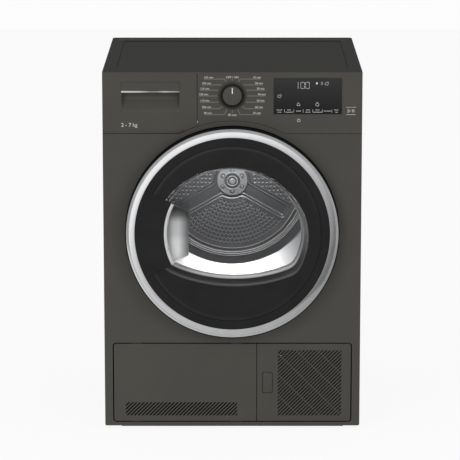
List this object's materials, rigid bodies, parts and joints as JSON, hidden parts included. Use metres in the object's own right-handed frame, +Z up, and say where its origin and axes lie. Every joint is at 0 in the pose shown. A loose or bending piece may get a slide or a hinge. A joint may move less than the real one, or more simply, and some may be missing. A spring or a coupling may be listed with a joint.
{
  "type": "clothes dryer",
  "caption": "Front-loading condenser tumble dryer with a round bowl door, pull-out water tank, programme knob, service flap and spinning drum.",
  "frame": {"origin": "on the floor, under the middle of the overall box, door ring included", "axes": "+Z up, the front with the door faces -Y, +X to the right seen from the front"},
  "size_m": [0.597, 0.632, 0.846],
  "materials": {
    "painted_sheet": "satin",
    "fascia_plastic": "satin",
    "worktop_board": "satin",
    "galvanised_sheet": "satin",
    "stainless_drum": "polished",
    "drum_back_steel": "satin",
    "chrome_trim": "polished",
    "gloss_black": "gloss",
    "black_plastic": "satin",
    "grey_plastic": "satin",
    "clear_bowl": "clear",
    "smoke_plastic": "satin",
    "bright_strip": "gloss",
    "display_black": "gloss",
    "board_green": "satin",
    "tank_plastic": "satin",
    "felt": "matte",
    "rubber_black": "matte",
    "zinc_steel": "satin",
    "fin_aluminium": "satin",
    "heater_steel": "oxidised",
    "lever_plastic": "gloss",
    "wheel_plastic": "satin",
    "pointer_white": "gloss"
  },
  "bodies": {
    "cabinet": {"base_tray": "black_plastic", "left_side_panel": "painted_sheet", "right_side_panel": "painted_sheet", "rear_panel": "galvanised_sheet", "rear_bulkhead": "galvanised_sheet", "heater_duct": "galvanised_sheet", "heater_element": "heater_steel", "rear_bearing": "zinc_steel", "worktop": "worktop_board", "front_panel": "painted_sheet", "front_bulkhead": "grey_plastic", "front_felt_seal": "felt", "control_fascia": "fascia_plastic", "display_window": "display_black", "control_board": "board_green", "kick_panel": "fascia_plastic", "condenser": "fin_aluminium", "motor": "zinc_steel", "water_pump": "black_plastic", "condensate_hose": "rubber_black", "tank_guide": "black_plastic", "door_hinge_bracket": "zinc_steel", "door_keeper": "black_plastic", "cable_gland": "black_plastic", "screws": "zinc_steel", "drum_belt": "rubber_black"},
    "door": {"door_ring": "chrome_trim", "door_surround": "gloss_black", "door_glass": "clear_bowl", "door_grip_plate": "gloss_black", "door_grip_strip": "bright_strip", "door_grip_pocket": "smoke_plastic", "door_liner": "black_plastic", "door_seal": "rubber_black", "door_hinge_leaf": "zinc_steel", "door_latch_hook": "zinc_steel"},
    "tank": {"tank_front": "fascia_plastic", "tank_handle_strip": "chrome_trim", "tank_container": "tank_plastic"},
    "knob": {"knob_cap": "fascia_plastic", "knob_pointer": "pointer_white"},
    "drum": {"drum_shell": "stainless_drum", "drum_back_plate": "drum_back_steel", "drum_hub": "zinc_steel", "drum_lifters": "grey_plastic"},
    "rotor": {"motor_pulley": "zinc_steel", "fan_wheel": "wheel_plastic"},
    "idler_arm": {"idler_arm": "zinc_steel"},
    "idler_wheel": {"idler_wheel": "wheel_plastic"},
    "roller_left": {"support_roller_left": "black_plastic"},
    "roller_right": {"support_roller_right": "black_plastic"},
    "flap": {"service_flap": "fascia_plastic"},
    "flap_button": {"flap_latch_button": "fascia_plastic"},
    "lever_left": {"lever_left": "lever_plastic"},
    "lever_right": {"lever_right": "lever_plastic"},
    "filter": {"lint_filter": "black_plastic"},
    "foot_front_left": {"foot_front_left": "rubber_black"},
    "foot_front_right": {"foot_front_right": "rubber_black"},
    "foot_rear_left": {"foot_rear_left": "rubber_black"},
    "foot_rear_right": {"foot_rear_right": "rubber_black"}
  },
  "joints": [
    {"name": "door_hinge", "type": "hinge", "parent": "cabinet", "child": "door", "pos_m": [0.236, -0.304, 0.473], "axis": [0, 0, 1], "range_deg": [0, 150]},
    {"name": "tank_slide", "type": "slide", "parent": "cabinet", "child": "tank", "axis": [0, -1, 0], "range_m": [0, 0.4]},
    {"name": "knob_turn", "type": "hinge", "parent": "cabinet", "child": "knob", "pos_m": [0, -0.289, 0.792], "axis": [0, -1, 0], "continuous": true},
    {"name": "drum_spin", "type": "hinge", "parent": "cabinet", "child": "drum", "pos_m": [0, 0.256, 0.494], "axis": [0, 1, 0], "continuous": true},
    {"name": "motor_spin", "type": "hinge", "parent": "cabinet", "child": "rotor", "pos_m": [-0.17, 0.02, 0.11], "axis": [0, 1, 0], "continuous": true},
    {"name": "idler_swing", "type": "hinge", "parent": "cabinet", "child": "idler_arm", "pos_m": [-0.25064, 0.028, 0.1203], "axis": [0, 1, 0], "range_deg": [-8, 0], "stiffness_Nm_per_rad": 0.4, "springref_deg": 17.19},
    {"name": "idler_spin", "type": "hinge", "parent": "idler_arm", "child": "idler_wheel", "pos_m": [-0.21364, 0.02, 0.1593], "axis": [0, 1, 0], "continuous": true},
    {"name": "roller_left_spin", "type": "hinge", "parent": "cabinet", "child": "roller_left", "pos_m": [-0.17798, -0.176, 0.23982], "axis": [0, 1, 0], "continuous": true},
    {"name": "roller_right_spin", "type": "hinge", "parent": "cabinet", "child": "roller_right", "pos_m": [0.17798, -0.176, 0.23982], "axis": [0, 1, 0], "continuous": true},
    {"name": "flap_hinge", "type": "hinge", "parent": "cabinet", "child": "flap", "pos_m": [0.272, -0.279, 0.112], "axis": [0, 0, 1], "range_deg": [0, 90]},
    {"name": "flap_latch_push", "type": "slide", "parent": "flap", "child": "flap_button", "axis": [0, 1, 0], "range_m": [0, 0.004], "stiffness_N_per_m": 500, "springref_m": -0.002},
    {"name": "lever_left_turn", "type": "hinge", "parent": "cabinet", "child": "lever_left", "pos_m": [0.086, -0.268, 0.112], "axis": [0, 1, 0], "range_deg": [0, 90]},
    {"name": "lever_right_turn", "type": "hinge", "parent": "cabinet", "child": "lever_right", "pos_m": [0.248, -0.268, 0.112], "axis": [0, -1, 0], "range_deg": [0, 90]},
    {"name": "filter_lift", "type": "slide", "parent": "cabinet", "child": "filter", "axis": [0, 0, 1], "range_m": [0, 0.16]},
    {"name": "foot_front_left_turn", "type": "hinge", "parent": "cabinet", "child": "foot_front_left", "pos_m": [-0.25, -0.224, 0.002], "axis": [0, 0, 1], "continuous": true},
    {"name": "foot_front_right_turn", "type": "hinge", "parent": "cabinet", "child": "foot_front_right", "pos_m": [0.25, -0.224, 0.002], "axis": [0, 0, 1], "continuous": true},
    {"name": "foot_rear_left_turn", "type": "hinge", "parent": "cabinet", "child": "foot_rear_left", "pos_m": [-0.25, 0.256, 0.002], "axis": [0, 0, 1], "continuous": true},
    {"name": "foot_rear_right_turn", "type": "hinge", "parent": "cabinet", "child": "foot_rear_right", "pos_m": [0.25, 0.256, 0.002], "axis": [0, 0, 1], "continuous": true}
  ],
  "couplings": [
    {"joint": "motor_spin", "follows": "drum_spin", "ratio": 25.977},
    {"joint": "idler_spin", "follows": "drum_spin", "ratio": -19.187},
    {"joint": "roller_left_spin", "follows": "drum_spin", "ratio": -11.917},
    {"joint": "roller_right_spin", "follows": "drum_spin", "ratio": -11.917}
  ]
}
